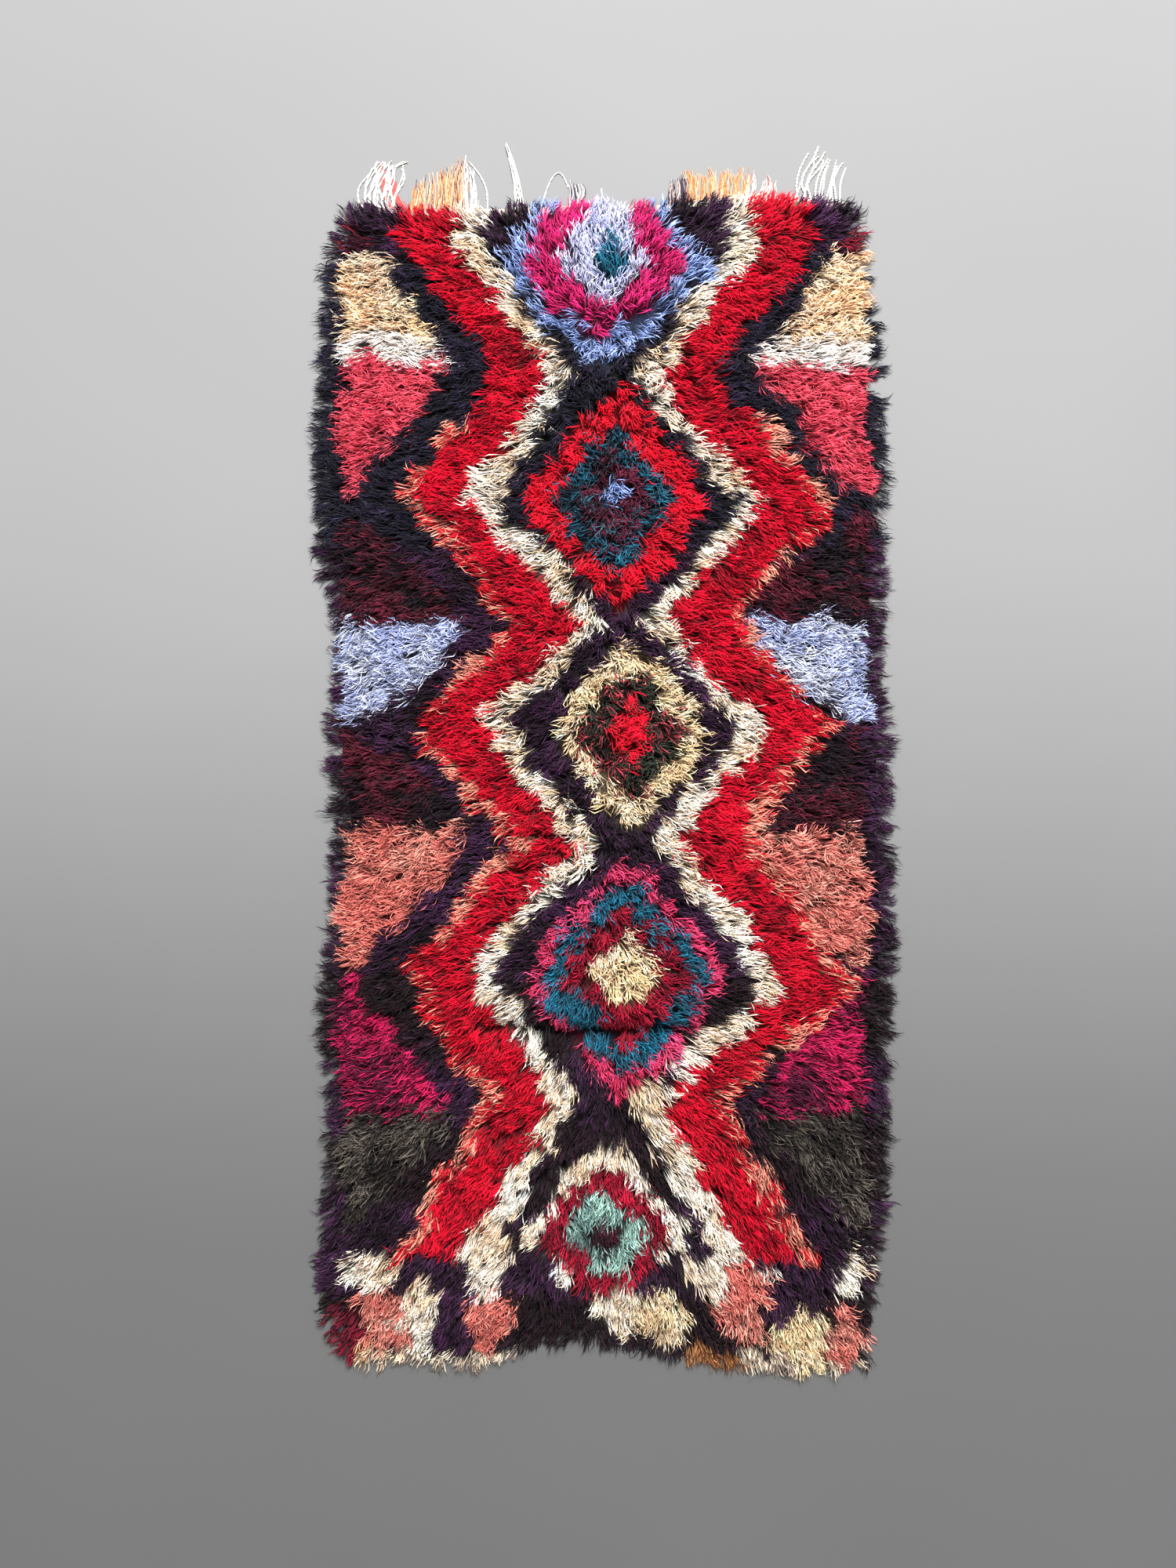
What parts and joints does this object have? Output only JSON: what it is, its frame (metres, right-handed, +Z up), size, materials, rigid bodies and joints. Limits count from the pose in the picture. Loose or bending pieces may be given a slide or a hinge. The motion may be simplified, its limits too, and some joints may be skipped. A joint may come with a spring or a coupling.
{
  "type": "boucherouite rug",
  "caption": "Long hand-knotted shag rug with stacked diamonds between zigzag bands, a shaggy rim and loose warp fringe at one end.",
  "frame": {"origin": "middle of the whole object's outline, on the floor under the rug", "axes": "+Z up out of the pile, +Y along the rug towards its fringed end, +X to the right seen from above"},
  "size_m": [1.0946, 2.2868, 0.0522],
  "materials": {
    "pile": "rough shag wool",
    "warp_fringe": "loose cotton and wool yarn"
  },
  "bodies": {
    "root": {"rug": "pile", "top_fringe": "warp_fringe"}
  },
  "joints": []
}
